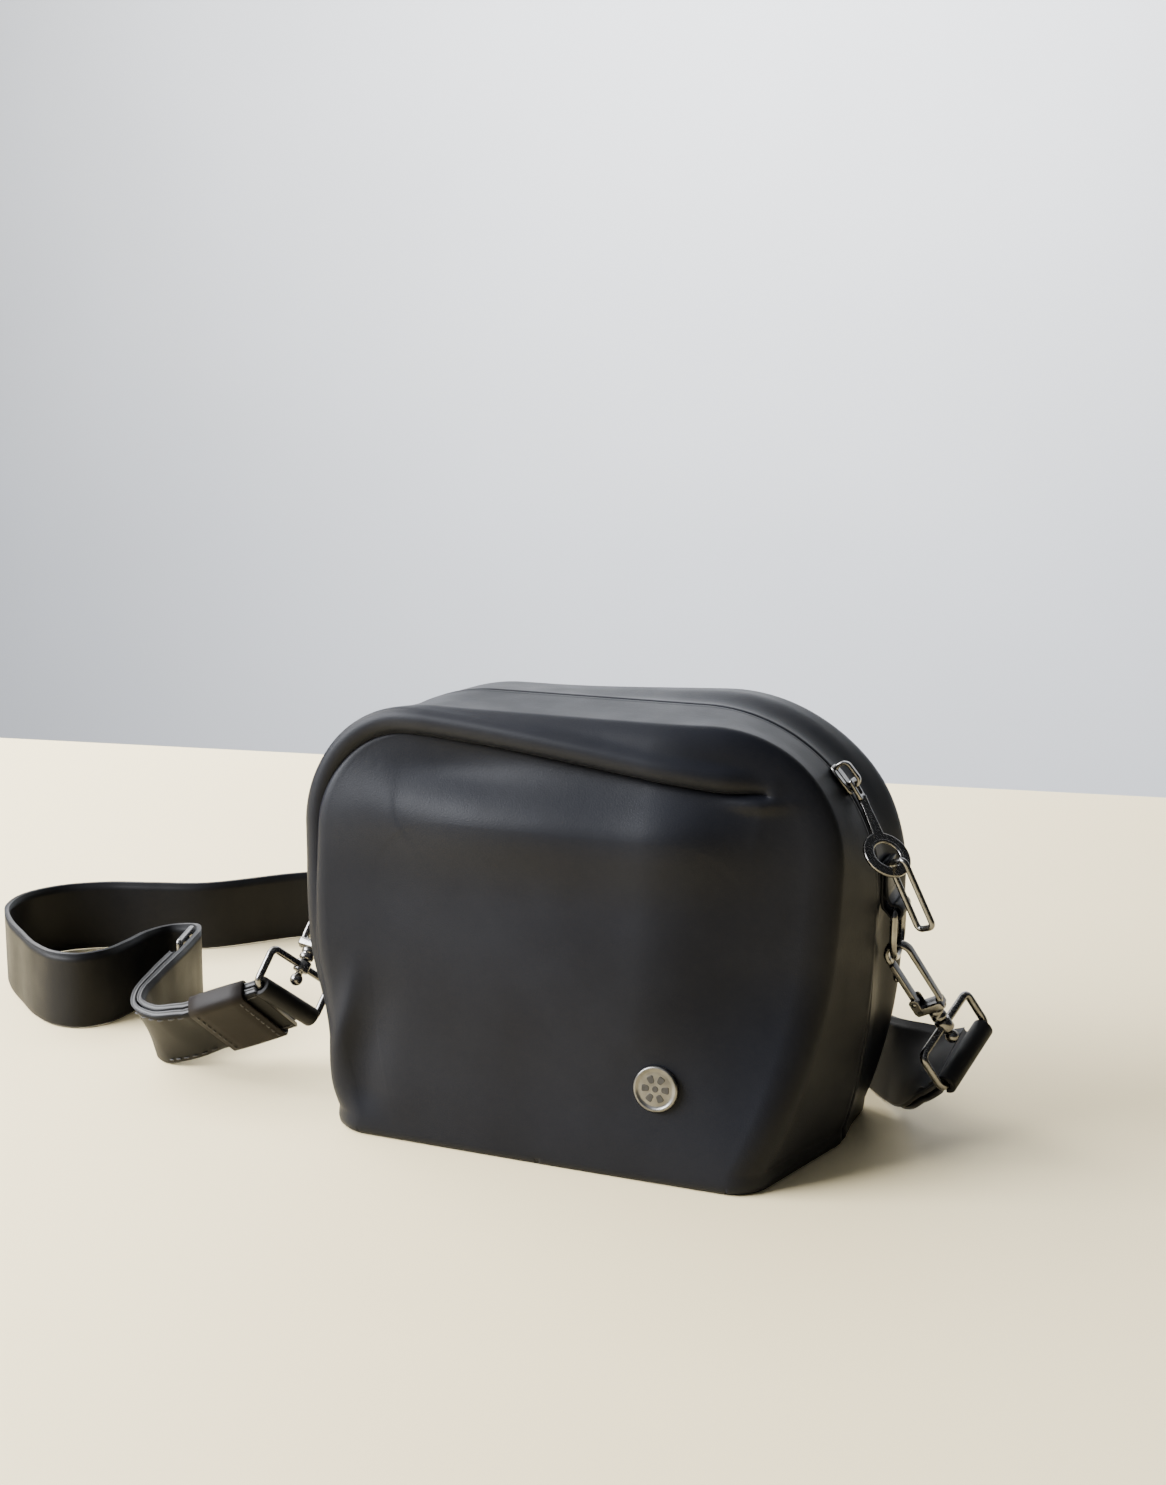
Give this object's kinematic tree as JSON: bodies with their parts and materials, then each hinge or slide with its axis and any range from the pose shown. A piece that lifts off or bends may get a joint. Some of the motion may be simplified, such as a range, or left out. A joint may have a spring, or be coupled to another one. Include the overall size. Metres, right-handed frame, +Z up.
{
  "type": "sling bag",
  "caption": "Small arched clamshell sling bag with an edge-to-edge zip, side rings, swivel snap hooks and a flat adjustable shoulder strap lying beside it.",
  "frame": {"origin": "centre of the flat base, on the resting surface", "axes": "+X to the right of someone facing the front, +Y from the front to the back, +Z up"},
  "size_m": [0.4526, 0.2313, 0.1574],
  "materials": {
    "shell_leather": "matte soft-touch, fine grain",
    "strap_leather": "matte, fine grain",
    "gunmetal": "polished dark nickel",
    "lining_fabric": "plain woven",
    "zip_tape": "ribbed woven",
    "zip_coil": "satin nylon",
    "pewter": "satin pewter",
    "stiffener_board": "plain"
  },
  "bodies": {
    "root": {"back_shell": "shell_leather", "back_lining": "lining_fabric", "back_zip_tape": "zip_tape", "back_zip_teeth": "zip_coil", "base_panel": "shell_leather", "base_board": "stiffener_board", "base_lining": "lining_fabric", "pocket_panel": "lining_fabric", "pocket_binding": "shell_leather", "zip_stop_right": "gunmetal", "zip_stop_left": "gunmetal", "ring_tab_right": "shell_leather", "ring_tab_left": "shell_leather", "strap_loop_right": "gunmetal", "strap_loop_left": "gunmetal", "strap_main": "strap_leather", "strap_tail_left": "strap_leather", "strap_tail_right": "strap_leather", "strap_fold_right": "strap_leather", "strap_fold_left": "strap_leather"},
    "front": {"front_shell": "shell_leather", "front_lining": "lining_fabric", "front_zip_tape": "zip_tape", "front_zip_teeth": "zip_coil", "badge_disc": "pewter", "badge_washer": "gunmetal"},
    "zip_slider": {"zip_slider": "gunmetal"},
    "zip_puller": {"zip_puller": "gunmetal", "puller_link": "gunmetal"},
    "ring_right": {"ring_right": "gunmetal"},
    "ring_left": {"ring_left": "gunmetal"},
    "hook_right": {"hook_right": "gunmetal"},
    "hook_left": {"hook_left": "gunmetal"},
    "gate_right": {"hook_gate_right": "gunmetal"},
    "gate_left": {"hook_gate_left": "gunmetal"},
    "keeper": {"strap_keeper": "strap_leather"},
    "adjuster": {"strap_adjuster": "gunmetal"}
  },
  "joints": [
    {"name": "front_open", "type": "hinge", "parent": "root", "child": "front", "pos_m": [0, -0.048, 0.0033], "axis": [1, 0, 0], "range_deg": [0, 32]},
    {"name": "zip_slide", "type": "hinge", "parent": "root", "child": "zip_slider", "pos_m": [0.041, 0.008, 0.093], "axis": [0, -1, 0], "range_deg": [0, 50]},
    {"name": "puller_swing", "type": "hinge", "parent": "zip_slider", "child": "zip_puller", "pos_m": [0.09465, 0.008, 0.13501], "axis": [0, -1, 0], "range_deg": [0, 120]},
    {"name": "ring_swing_right", "type": "hinge", "parent": "root", "child": "ring_right", "pos_m": [0.111, 0.0195, 0.088], "axis": [0, 1, 0], "range_deg": [-4, 4]},
    {"name": "ring_swing_left", "type": "hinge", "parent": "root", "child": "ring_left", "pos_m": [-0.111, 0.0195, 0.088], "axis": [0, 1, 0], "range_deg": [-4, 4]},
    {"name": "hook_swivel_right", "type": "hinge", "parent": "root", "child": "hook_right", "pos_m": [0.1275, 0.03101, 0.0425], "axis": [0.4909, 0.262, -0.8309], "range_deg": [-10, 10]},
    {"name": "hook_swivel_left", "type": "hinge", "parent": "root", "child": "hook_left", "pos_m": [-0.11648, -0.00574, 0.04524], "axis": [-0.1632, -0.5908, -0.7901], "range_deg": [-10, 10]},
    {"name": "gate_press_right", "type": "hinge", "parent": "hook_right", "child": "gate_right", "pos_m": [0.11711, 0.02828, 0.05115], "axis": [0, 0.9537, 0.3007], "range_deg": [0, 18], "stiffness_Nm_per_rad": 0.02, "springref_deg": -17.19},
    {"name": "gate_press_left", "type": "hinge", "parent": "hook_left", "child": "gate_left", "pos_m": [-0.10982, 0.00149, 0.05491], "axis": [0, -0.8009, 0.5989], "range_deg": [0, 18], "stiffness_Nm_per_rad": 0.02, "springref_deg": -17.19},
    {"name": "keeper_slide", "type": "slide", "parent": "root", "child": "keeper", "axis": [-0.9216, -0.1471, -0.3593], "range_m": [-0.002, 0.002]},
    {"name": "adjuster_slide", "type": "slide", "parent": "root", "child": "adjuster", "axis": [-0.3205, 0.9471, -0.0146], "range_m": [-0.002, 0.002]}
  ]
}
